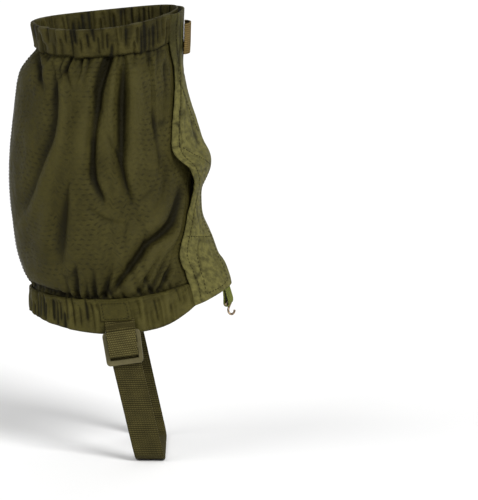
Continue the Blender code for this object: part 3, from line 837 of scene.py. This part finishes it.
def stitches(name, points, outwards, finish, pitch=2.4, length=1.6, radius=0.27):
    """A row of sewn thread: short rounded stitches along a line that lies on the cloth."""
    travel = path_lengths(points, 0)
    count = max(int(travel[-1] / pitch), 1)
    middles = (np.arange(count) + 0.5) * travel[-1] / count
    shape_along = np.array([-0.5, -0.36, 0.0, 0.36, 0.5]) * length
    shape_size = np.array([0.25, 0.85, 1.0, 0.85, 0.25]) * radius
    sides = 6
    turns = np.arange(sides) * 2 * math.pi / sides
    vertices, faces = [], []
    for middle in middles:
        at = np.array([np.interp(middle, travel, column) for column in points.T])
        ahead = np.array([np.interp(middle + 0.4, travel, column) for column in points.T])
        behind = np.array([np.interp(middle - 0.4, travel, column) for column in points.T])
        up = unit(np.array([np.interp(middle, travel, column) for column in outwards.T]))
        along = unit(ahead - behind)
        across = unit(np.cross(up, along))
        start = len(vertices)
        for distance, size in zip(shape_along, shape_size):
            dip = 0.12 * (1 - (2 * distance / length) ** 2)
            for turn in turns:
                ring = across * math.cos(turn) + up * math.sin(turn) * 0.8
                vertices.append(at + along * distance + ring * size + up * dip)
        for ring in range(len(shape_along) - 1):
            for side in range(sides):
                follow = (side + 1) % sides
                low, high = start + ring * sides, start + (ring + 1) * sides
                faces.append((low + side, low + follow, high + follow, high + side))
        faces.append(tuple(start + side for side in reversed(range(sides))))
        faces.append(tuple(start + 4 * sides + side for side in range(sides)))
    mesh = bpy.data.meshes.new(name)
    mesh.from_pydata([tuple(MM * vertex) for vertex in vertices], [], faces)
    mesh.shade_smooth()
    mesh.uv_layers.new(name="cloth")
    mesh.materials.append(finish)
    return new_object(name, mesh)


def joined(name, pieces):
    """The pieces made one object, under the name."""
    with bpy.context.temp_override(active_object=pieces[0], selected_editable_objects=pieces):
        bpy.ops.object.join()
    pieces[0].name = name
    return pieces[0]


def cloth_piece(name, sheet, finish, thickness):
    return thicken(grid_mesh(name, sheet.points, finish, sheet.uv(), sheet.painted_fold_shading), thickness)


def sheet_stitches(name, sheet, path, finish, lift=0.15, **sizes):
    """Stitches along a path of (angle, level) on a sheet."""
    path = smooth_path(path, 14)
    points = sheet.place(path[:, 0], path[:, 1], lift)
    return stitches(name, points, surface_normal(path[:, 0], path[:, 1]), finish, **sizes)


def flap_sheet(rows, columns):
    """The outer face of the flap, with its creases and its slightly curled free edge."""
    levels, across = grid(np.linspace(0.06, FLAP_BOTTOM, rows), np.linspace(0, 1, columns))
    free = smooth_value(FLAP_FREE_EDGE, levels)
    sewn = smooth_value(FLAP_SEWN_EDGE, levels)
    frayed = 0.5 * noise(np.stack([levels * 3, levels * 0, levels * 0], -1), 1.0, 50)
    free = free + frayed
    angles = free + (sewn - free) * across
    base = middle_surface(angles, levels)
    per_degree = degree_length(angles, levels)
    from_free = (angles - free) * per_degree
    from_sewn = (sewn - angles) * per_degree
    soft = 0.55 * noise(base, (14, 14, 20), 41) + 0.22 * noise(base, (5, 5, 8), 42)
    creased = hump(noise(base, (12, 12, 16), 44), 0.09) * smoothstep(0.0, 0.4, noise(base, 26, 45))
    # Sewn lines pull the cloth in a little, and the doubled hem stands up along the free edge.
    hem_line = hump(from_free - 5.2, 0.7)
    tape_line = hump(angles + 17, 1.4) + hump(angles - 5, 1.4)
    doubled = 0.35 * (1 - smoothstep(4.4, 6.0, from_free))
    # The free edge is pressed down on the body, but stands off over the ankle.
    pressed = 1 - 0.85 * hump(levels - 5.4, 1.0)
    drop = -2.3 * pressed * (1 - smoothstep(0, 7.5, from_free))
    curl = 0.8 * (1 - smoothstep(0, 5, from_free)) * noise(base, (40, 40, 17), 47)
    edge_fall = -0.5 * (1 - smoothstep(0, 0.8, from_free))
    away = smoothstep(0, 6, from_sewn)
    ends = smoothstep(0.06, 0.22, levels) * smoothstep(0.0, 0.14, FLAP_BOTTOM - levels)
    relief = (soft - 0.45 * creased) * away * (0.4 + 0.6 * ends)
    relief = relief + doubled + curl * (1 - pressed) + drop + edge_fall
    relief = relief - 0.35 * hem_line - 0.25 * tape_line
    distance = FLAP_FACE + flap_buckle(angles, levels) + relief
    sheet = Sheet(angles, levels, distance)
    # Painted shade that darkens the flap towards its top, in its creases and along its sewn lines, and
    # painted highlight on its soft swells.
    shaded = 0.62 * (1 - smoothstep(0.3, 4.6, levels)) + 0.12
    sheet.painted_fold_shading = 0.45 * soft - 0.55 * creased - 0.45 * hem_line - 0.30 * tape_line - shaded
    return sheet


def plain_sheet(edges, levels, distance, rows, columns, seed, ripple):
    heights, angles = grid(np.linspace(*levels, rows), np.linspace(*edges, columns))
    base = middle_surface(angles, heights)
    waves = ripple * noise(base, (9, 9, 14), seed)
    far = distance(angles, heights) if callable(distance) else distance + 0 * angles
    sheet = Sheet(angles, heights, far + waves)
    # Painted shade and painted highlight along the ripples.
    sheet.painted_fold_shading = 0.6 * waves
    return sheet


def ribbon_points(line, frame_matrix, width, columns, wobble=0.0, seed=0):
    """The outer face of webbing that follows a line of (across, up) in the frame's YZ plane."""
    line = np.array(line, float)
    travel = path_lengths(line, 0)
    count = max(int(travel[-1] / 0.7), 8)
    even = np.linspace(0, travel[-1], count)
    line = np.stack([np.interp(even, travel, column) for column in line.T], axis=-1)
    share = np.linspace(-0.5, 0.5, columns)
    points = np.zeros((count, columns, 3))
    points[..., 0] = share[None, :] * width
    points[..., 1] = line[:, :1]
    points[..., 2] = line[:, 1:]
    along = unit(np.gradient(line, axis=0))
    normal = np.stack([-along[:, 1], along[:, 0]], axis=-1)
    bow = wobble * noise(points, (9, 9, 11), seed + 60)
    edge = -0.22 * smoothstep(0.455, 0.5, np.abs(share))[None, :]
    points[..., 1:] += normal[:, None, :] * (bow + edge)[..., None]
    matrix = np.array(frame_matrix)
    placed = points @ matrix[:3, :3].T + matrix[:3, 3] / MM
    uv = np.stack(
        [share[None, :] * width + 0 * even[:, None] + 10, even[:, None] + 0 * share[None, :]], -1
    )
    return placed, uv


def ribbon_piece(name, line, frame_matrix, width, thickness, finish, wobble=0.0, seed=0):
    points, uv = ribbon_points(line, frame_matrix, width, 33, wobble, seed)
    piece = grid_mesh(name, points, finish, uv)
    thicken(piece, thickness, 0.0)
    rounding = piece.modifiers.new("rounding", "BEVEL")
    rounding.width = 0.3 * MM
    rounding.segments = 2
    rounding.angle_limit = math.radians(50)
    return piece


def arc(centre, radius, start, end, steps):
    turns = np.radians(np.linspace(start, end, steps + 1))
    return [(centre[0] + radius * math.cos(t), centre[1] + radius * math.sin(t)) for t in turns]


def rounded_line(corners, radii, steps=10):
    """A polyline whose inner corners are rounded to the radii."""
    corners = [Vector(corner) for corner in corners]
    line = [tuple(corners[0])]
    for before, corner, after, radius in zip(corners, corners[1:], corners[2:], radii):
        to_before = (before - corner).normalized()
        to_after = (after - corner).normalized()
        half_angle = math.acos(max(-1.0, min(1.0, to_before.dot(to_after)))) / 2
        tangent = radius / math.tan(half_angle)
        start = corner + to_before * tangent
        end = corner + to_after * tangent
        for step in range(steps + 1):
            share = step / steps
            towards_start = start.lerp(corner, share)
            towards_end = corner.lerp(end, share)
            line.append(tuple(towards_start.lerp(towards_end, share)))
    line.append(tuple(corners[-1]))
    return line


# Stirrup webbing and buckle.
WEBBING_WIDTH = 20.0
WEBBING_THICK = 1.4
STRAP_LEAN = 12.6
BUCKLE_LEAN = 8.0
ANCHOR_AHEAD = -20.2
ANCHOR_HEIGHT = 97.0
STRAP_SIDE = 53.7
SOLE_HALF = 44.5
LOOP_MIDDLE = -56.1
BUCKLE_DROP = 5.7
# The edges of the buckle's three bars, downwards from its top.
BUCKLE_ROWS = (0.0, 2.6, 9.1, 12.5, 19.5, 23.2)
BUCKLE_THICK = 2.6
BUCKLE_HALF = 13.0
BUCKLE_ROUNDING = 0.55
BUCKLE_TAPER = 0.045 / 24.5


def strap_frame():
    ends = MM * Vector((ANCHOR_AHEAD, 0, ANCHOR_HEIGHT))
    return Matrix.Translation(ends) @ Matrix.Rotation(-math.radians(BUCKLE_LEAN), 4, "Y")


def slot_outline(left, right, low, high, radius, steps=5):
    """A rounded rectangle, as points in order."""
    points = []
    corners = ((right, high, 0), (left, high, 90), (left, low, 180), (right, low, 270))
    for x, z, start in corners:
        inwards_x = math.copysign(radius, x - (left + right) / 2)
        inwards_z = math.copysign(radius, z - (low + high) / 2)
        points += arc((x - inwards_x, z - inwards_z), radius, start, start + 90, steps)
    return points


def buckle_piece(finish):
    """The moulded three-bar slide: rounded outline, two slots, and every edge softened."""
    curve = bpy.data.curves.new("buckle_moulding", "CURVE")
    curve.dimensions = "2D"
    curve.fill_mode = "BOTH"
    curve.extrude = (BUCKLE_THICK / 2 - BUCKLE_ROUNDING) * MM
    curve.bevel_depth = BUCKLE_ROUNDING * MM
    curve.bevel_resolution = 3
    top = -BUCKLE_DROP
    shrink = BUCKLE_ROUNDING
    side = BUCKLE_HALF - shrink
    rows = [top - row for row in BUCKLE_ROWS]
    outline = slot_outline(-side, side, rows[5] + shrink, rows[0] - shrink, 2.2)
    # The sides draw in slightly towards the bottom bar.
    outline = [(x * (1 - BUCKLE_TAPER * (rows[0] - z)), z) for x, z in outline]
    upper = slot_outline(-10.4, 10.4, rows[2] - shrink, rows[1] + shrink, 0.9)
    lower = slot_outline(-10.2, 10.2, rows[4] - shrink, rows[3] + shrink, 0.9)
    for points in (outline, upper, lower):
        spline = curve.splines.new("POLY")
        spline.points.add(len(points) - 1)
        spline.use_cyclic_u = True
        for point, (x, z) in zip(spline.points, points):
            point.co = (x * MM, z * MM, 0, 1)
    shape = new_object("buckle_curve", curve)
    bpy.context.view_layer.update()
    mesh = bpy.data.meshes.new_from_object(shape.evaluated_get(bpy.context.evaluated_depsgraph_get()))
    bpy.data.objects.remove(shape, do_unlink=True)
    upright = Matrix.Rotation(math.radians(90), 4, "X")
    placed = strap_frame() @ Matrix.Translation((0, LOOP_MIDDLE * MM, 0)) @ upright
    mesh.transform(placed)
    mesh.materials.clear()
    mesh.materials.append(finish)
    mesh.shade_smooth()
    mesh.set_sharp_from_angle(angle=math.radians(50))
    return new_object("slide_buckle", mesh)


def wire_piece(name, route, placed, radius, finish):
    """Bent wire through the route, as a smooth tube with rounded ends."""
    curve = bpy.data.curves.new(name, "CURVE")
    curve.dimensions = "3D"
    curve.bevel_depth = radius * MM
    curve.bevel_resolution = 5
    curve.use_fill_caps = True
    smooth = smooth_path(route, 8)
    spline = curve.splines.new("POLY")
    spline.points.add(len(smooth) - 1)
    for point, place in zip(spline.points, smooth):
        point.co = (*(placed @ (MM * Vector(place))), 1.0)
    curve.materials.append(finish)
    return new_object(name, curve)


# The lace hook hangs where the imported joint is.
HOOK_ORIGIN = (49.0, -6.45, 106.5)
HOOK_OUTWARDS = (0.957, -0.285, -0.049)


def hook_frame():
    """A frame at the hem under the flap: X around the leg, Y outwards, Z up."""
    joint = next(joint for joint in frame["joints"] if joint["name"] == "lace_hook_swing")
    around = unit(np.array(joint["axis"], float))
    outwards = np.array(HOOK_OUTWARDS)
    outwards = unit(outwards - around * outwards.dot(around))
    upwards = np.cross(outwards, around)
    turn = Matrix(np.stack([around, outwards, upwards], axis=-1).tolist()).to_4x4()
    return Matrix.Translation(MM * Vector(HOOK_ORIGIN)) @ turn


def build_body():
    body = ripstop("body_ripstop", BODY_COLOURS)
    halves = {}
    for name, node, side in (
        ("lateral_cloth", "lateral_panel", -1),
        ("medial_cloth", "medial_panel", 1),
    ):
        sheet = body_sheet(side, 222, 206)
        piece = cloth_piece(name, sheet, body, 0.5)
        ride_new(piece, "shell", "body_fabric", node)
        halves[side] = sheet
    return halves


def build_cuffs():
    cuff = ripstop("cuff_ripstop", CUFF_COLOURS, dobby=0.15, roughness=0.60)
    upper = cuff_sheet(
        "top_cuff_cloth",
        top_seam,
        lambda angle: RIM + 0 * angle,
        Pleats(seed=41, spacing=4.3),
        cuff,
    )
    ride_new(upper, "shell", "body_fabric", "top_cuff")
    pleats = Pleats(seed=47, spacing=3.3)
    low = ripstop("lower_ripstop", LOWER_COLOURS, dobby=0.1, roughness=0.60)
    lower = cuff_sheet("bottom_cuff_cloth", seam_level, hem_level, pleats, low, patched=True)
    ride_new(lower, "shell", "body_fabric", "bottom_cuff")


def build_back_seam(halves, thread):
    """Topstitching on both sides of the back seam."""
    rows = []
    for side in (-1, 1):
        path = [(side * SEAM_STITCH_ANGLE, level) for level in np.linspace(1.15, 9.8, 12)]
        rows.append(sheet_stitches("row", halves[side], path, thread))
    seam = joined("back_seam_stitching", rows)
    ride_new(seam, "shell", "body_fabric")


def build_patches(thread):
    patch_cloth = ripstop("patch_ripstop", LOWER_COLOURS, dobby=0.0, mottled=0.12)
    for name, node, side in (
        ("lateral_patch_cloth", "lateral_strap_patch", -1),
        ("medial_patch_cloth", "medial_strap_patch", 1),
    ):
        middle = side * PATCH_ANGLE
        edges = (middle - PATCH_HALF, middle + PATCH_HALF)
        patch = plain_sheet(edges, PATCH_LEVELS, 3.1, 40, 44, 71 + side, 0.22)
        piece = cloth_piece(name, patch, patch_cloth, 0.9)
        ride_new(piece, "shell", "body_fabric", node)
        left, right = (edges[0] + PATCH_INSET_ANGLE, edges[1] - PATCH_INSET_ANGLE)
        high, low = PATCH_INSET_LEVELS
        frame_path = [(left, high), (left, low), (right, low), (right, high), (left, high)]
        runs = [
            sheet_stitches("run", patch, [start, end], thread, pitch=1.9, length=1.25, radius=0.2)
            for start, end in zip(frame_path, frame_path[1:])
        ]
        ride_new(joined(name + "_stitching", runs), "shell", "body_fabric")


def build_placket():
    lining = ripstop("placket_ripstop", CUFF_COLOURS, dobby=0.0)
    placket = plain_sheet((-24.6, 24.6), (0.0, 10.58), 0.6, 190, 48, 81, 0.25)
    piece = cloth_piece("placket_cloth", placket, lining, 1.1)
    ride_new(piece, "shell", "body_fabric", "under_placket")

    loops = hook_and_loop("loop_pile", TAPE_COLOURS, hooks=False)
    tape = plain_sheet((-18, 6), (0.2, 10.4), 1.65, 160, 26, 83, 0.12)
    piece = cloth_piece("loop_tape_pile", tape, loops, 0.65)
    ride_new(piece, "shell", "closure_tape", "placket_loop_tape")


def build_elastics():
    elastic = webbing("elastic_braid", ELASTIC_COLOURS, 1.0, 1.6)
    share, angle = grid(
        np.linspace(0.14, 0.86, 24), np.linspace(OPENING + 0.5, 359.5 - OPENING, 300)
    )
    for node, seam, edge in (
        ("top_elastic", top_seam(angle), RIM + 0 * angle),
        ("bottom_elastic", seam_level(angle), hem_level(half_turn(angle))),
    ):
        level = np.sort(seam + (edge - seam) * share, axis=0)
        ripple = 0.12 * noise(middle_surface(angle, level), (3, 3, 60), 91)
        band = Sheet(angle, level, 0.55 + ripple)
        piece = cloth_piece(node + "_braid", band, elastic, 1.1)
        ride_new(piece, "shell", "elastic", node)


def build_shell():
    thread = webbing("dark_thread", THREAD_COLOURS, 0.5, 0.4)
    halves = build_body()
    build_cuffs()
    build_back_seam(halves, thread)
    build_patches(thread)
    build_placket()
    build_elastics()


def build_flap_cloth():
    cloth = ripstop(
        "flap_ripstop", FLAP_COLOURS, dobby=0.06, mottled=0.34, roughness=0.62, micro=1.5
    )
    sheet = flap_sheet(330, 84)
    piece = cloth_piece("flap_cloth", sheet, cloth, 1.25)
    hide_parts("front_flap")
    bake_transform(piece)

    hooks = hook_and_loop("hook_pile", TAPE_COLOURS, hooks=True)
    tape = plain_sheet(
        (-17, 5), (0.25, 10.35), lambda a, l: 2.95 + flap_buckle(a, l), 160, 24, 85, 0.08
    )
    piece = cloth_piece("hook_tape_pile", tape, hooks, 0.7)
    ride_new(piece, "flap", "closure_tape", "flap_hook_tape")
    return sheet


def build_flap_stitching(sheet):
    thread = webbing("flap_thread", THREAD_COLOURS, 0.5, 0.4)
    sewing = {"lift": 0.05, "pitch": 2.5, "length": 1.7}
    runs = (
        # The rectangle that holds the lower tape, and the cross seam above it.
        [(-34.0, 8.05), (-36.0, 9.0), (-37.5, 9.8), (-39.0, 10.42)],
        [(-9.0, 8.1), (-10.0, 9.2), (-11.5, 10.42)],
        [(-39.0, 10.42), (-26.0, 10.46), (-11.5, 10.42)],
        [(-36.0, 7.5), (-22.0, 7.75), (-6.0, 7.95)],
        # The slanting seams over the ankle.
        [(-36.5, 4.0), (-24.0, 4.55), (-9.0, 5.1)],
        [(-14.0, 1.9), (-17.0, 2.5), (-15.0, 3.2), (-9.0, 3.8)],
        [(-9.0, 5.15), (-8.0, 6.4), (-8.0, 8.1)],
    )
    rows = [
        sheet_stitches("row", sheet, path, thread, radius=0.24, **sewing)
        for path in runs
    ]
    levels = np.linspace(0.3, 10.45, 40)
    hem = smooth_value(FLAP_FREE_EDGE, levels)
    hem = hem + 5.2 / degree_length(hem, levels)
    path = list(zip(hem, levels))
    rows.append(sheet_stitches("row", sheet, path, thread, radius=0.2, **sewing))
    ride_new(joined("flap_stitching", rows), "flap", "flap_fabric")


def build_pull_loop():
    tunnel = webbing("pull_webbing", LOOP_COLOURS, 1.45, 1.0)
    rows, columns = 40, 56
    level, angle = grid(np.linspace(0.50, 1.40, rows), np.linspace(-12, 12, columns))
    rise = 3.1 * np.cos(np.radians(90 * angle / 12)) ** 0.55
    loop = Sheet(angle, level, FLAP_FACE + 0.3 + rise + 1.4)
    piece = cloth_piece("pull_loop_webbing", loop, tunnel, 1.2)
    ride_new(piece, "flap", "webbing", "pull_loop")


def build_flap():
    build_flap_stitching(build_flap_cloth())
    build_pull_loop()


def build_hook():
    placed = hook_frame()
    tab = webbing("tab_tape", TAB_COLOURS, 1.2, 0.9)
    line = rounded_line([(-0.4, 14.5), (2.2, 6.0), (2.7, 0.0), (2.7, -3.2)], (6.0, 3.0))
    line += arc((4.4, -4.0), 1.7, 180, 360, 12)
    line += [(6.0, -2.2), (4.6, 2.5), (3.6, 6.0), (0.9, 13.5)]
    piece = ribbon_piece("lace_tab_tape", line, placed, 9.6, 0.8, tab, 0.15, 3)
    ride_new(piece, "flap", "webbing", "lace_hook_tab")

    metal = plated_wire("worn_plating", HOOK_COLOURS)
    reach, drop = 4.4, -4.0
    route = (
        (-6.0, reach, drop),
        (-3.0, reach, drop),
        (3.0, reach, drop),
        (5.9, reach, drop - 0.1),
        (6.6, reach, drop - 1.0),
        (5.8, reach, drop - 2.5),
        (3.0, reach, drop - 3.8),
        (1.0, reach, drop - 4.7),
        (0.1, reach, drop - 5.8),
        (0.0, reach + 0.2, drop - 7.2),
        (0.0, reach + 1.1, drop - 8.4),
        (0.0, reach + 2.4, drop - 8.7),
        (0.0, reach + 3.6, drop - 8.0),
        (0.0, reach + 4.3, drop - 6.8),
        (0.0, reach + 4.5, drop - 5.4),
    )
    piece = wire_piece("lace_hook_wire", route, placed, 0.8, metal)
    ride_new(piece, "hook", "hook_metal", "lace_hook")



def build_stirrup():
    band = webbing("strap_webbing", STRAP_COLOURS, 1.5, 1.15)
    leaning = Matrix.Identity(4)
    leaning[0][2] = -math.tan(math.radians(STRAP_LEAN))
    below = -WEBBING_THICK / 2
    corners = [
        (-STRAP_SIDE, ANCHOR_HEIGHT - 24.2),
        (-SOLE_HALF, below),
        (SOLE_HALF, below),
        (STRAP_SIDE, ANCHOR_HEIGHT),
    ]
    line = rounded_line(corners, (11.0, 11.0))
    piece = ribbon_piece("instep_webbing", line, leaning, WEBBING_WIDTH, 1.3, band, 0.35, 5)
    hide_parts("instep_strap")
    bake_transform(piece)

    # The anchor loop comes down from under the hem, goes round the buckle's top bar and back up.
    frame_matrix = strap_frame()
    top = -BUCKLE_DROP
    loop = rounded_line(
        [
            (LOOP_MIDDLE + 8.6, 9.0),
            (LOOP_MIDDLE + 7.2, -1.4),
            (LOOP_MIDDLE - 2.0, top + 1.9),
            (LOOP_MIDDLE - 2.85, top - 1.4),
        ],
        (2.0, 1.2),
    )
    loop += arc((LOOP_MIDDLE, top - 1.5), 2.8, 185, 355, 12)
    loop += [(LOOP_MIDDLE + 3.0, top + 1.0), (LOOP_MIDDLE + 9.8, 7.0)]
    piece = ribbon_piece(
        "anchor_webbing", loop, frame_matrix, WEBBING_WIDTH, 1.25, band, 0.15, 7
    )
    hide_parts("buckle_anchor_loop")
    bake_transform(piece)


def build_buckle():
    plastic = moulded_plastic("buckle_acetal", BUCKLE_COLOURS)
    piece = buckle_piece(plastic)
    ride_new(piece, "buckle", "buckle_plastic", "buckle")

    # The turn and the strap's end are the strap's own webbing, drawn in the paler copy of its colours as
    # painted light.
    band = webbing("turn_webbing", PAINTED_LIGHT_TURN_COLOURS, 1.5, 1.15)
    top = -BUCKLE_DROP
    middle_bar = top - (BUCKLE_ROWS[2] + BUCKLE_ROWS[3]) / 2
    turn = [
        (LOOP_MIDDLE - 0.9, middle_bar - 6.4),
        (LOOP_MIDDLE - 2.8, middle_bar - 5.0),
        (LOOP_MIDDLE - 3.1, middle_bar - 1.0),
        (LOOP_MIDDLE - 2.9, middle_bar + 3.6),
        (LOOP_MIDDLE, middle_bar + 5.6),
        (LOOP_MIDDLE + 2.6, middle_bar + 2.6),
        (LOOP_MIDDLE + 2.8, -21.0),
        (LOOP_MIDDLE + 2.4, -25.5),
    ]
    turn = rounded_line(turn, (1.6, 12.0, 4.0, 2.0, 2.0, 8.0), 6)
    piece = ribbon_piece("buckle_turn_webbing", turn, strap_frame(), 19.4, 1.25, band, 0.25, 9)
    ride_new(piece, "buckle", "webbing", "strap_buckle_turn")

    # The strap's free end lies over the turn and the top bar.
    end = [
        (LOOP_MIDDLE - 4.2, middle_bar - 5.4),
        (LOOP_MIDDLE - 4.8, middle_bar - 1.0),
        (LOOP_MIDDLE - 5.3, middle_bar + 5.0),
        (LOOP_MIDDLE - 5.4, top + 1.0),
    ]
    end = rounded_line(end, (4.0, 6.0), 6)
    piece = ribbon_piece("strap_end_webbing", end, strap_frame(), 19.6, 1.25, band, 0.25, 12)
    ride_new(piece, "buckle", "webbing")


FLOOR_REACH = 12.0
CAMERA_LENS = 400.0
CAMERA_ELEVATION = 10.0
CAMERA_DISTANCE = 3.8
CAMERA_TARGET = (0.0605, 0.0, 0.137)
# Name, direction, strength and softness of each sun.
SUNS = (
    ("key", (0.55, -0.80, 0.75), 2.6, 22.0),
    ("fill", (-0.8, -0.5, 0.9), 0.8, 40.0),
    ("rim", (0.2, 0.9, 0.8), 0.3, 40.0),
)


def build_floor():
    floor_height = float(CAD_BOX[0][2])
    look = Finish("pale_floor")
    tone = look.noise(look.solid, 3.0, 2.0)
    colour = look.mix(look.span(tone, 0.3, 0.7), (0.86, 0.86, 0.86), (0.90, 0.90, 0.895))
    look.finish(colour, 0.9, look.bump(tone, 0.1))
    mesh = bpy.data.meshes.new("floor")
    reach = FLOOR_REACH
    corners = [(-reach, -reach, 0), (reach, -reach, 0), (reach, reach, 0), (-reach, reach, 0)]
    mesh.from_pydata(corners, [], [(0, 1, 2, 3)])
    mesh.materials.append(look.material)
    floor = new_object("floor", mesh)
    floor.location.z = floor_height - 0.5 * MM


def build_lights():
    world = bpy.data.worlds.new("studio")
    world.use_nodes = True
    backdrop = world.node_tree.nodes["Background"]
    backdrop.inputs["Color"].default_value = (1.0, 1.0, 1.0, 1.0)
    backdrop.inputs["Strength"].default_value = 0.50
    bpy.context.scene.world = world
    bpy.context.scene.view_settings.view_transform = "Standard"

    for name, place, strength, softness in SUNS:
        lamp = bpy.data.lights.new(name, "SUN")
        lamp.energy = strength
        lamp.angle = math.radians(softness)
        light = new_object(name, lamp)
        light.location = place
        light.rotation_euler = (-Vector(place)).to_track_quat("-Z", "Y").to_euler()


def build_camera():
    lens = bpy.data.cameras.new("camera")
    lens.lens = CAMERA_LENS
    lens.sensor_width = 36.0
    lens.clip_end = 50.0
    camera = new_object("camera", lens)
    elevation = math.radians(CAMERA_ELEVATION)
    towards = Vector((0, -math.cos(elevation), math.sin(elevation)))
    camera.location = Vector(CAMERA_TARGET) + CAMERA_DISTANCE * towards
    camera.rotation_euler = (math.radians(90.0) - elevation, 0, 0)
    bpy.context.scene.camera = camera


def main():
    build_floor()
    build_lights()
    build_camera()
    build_shell()
    build_flap()
    build_hook()
    build_stirrup()
    build_buckle()


main()
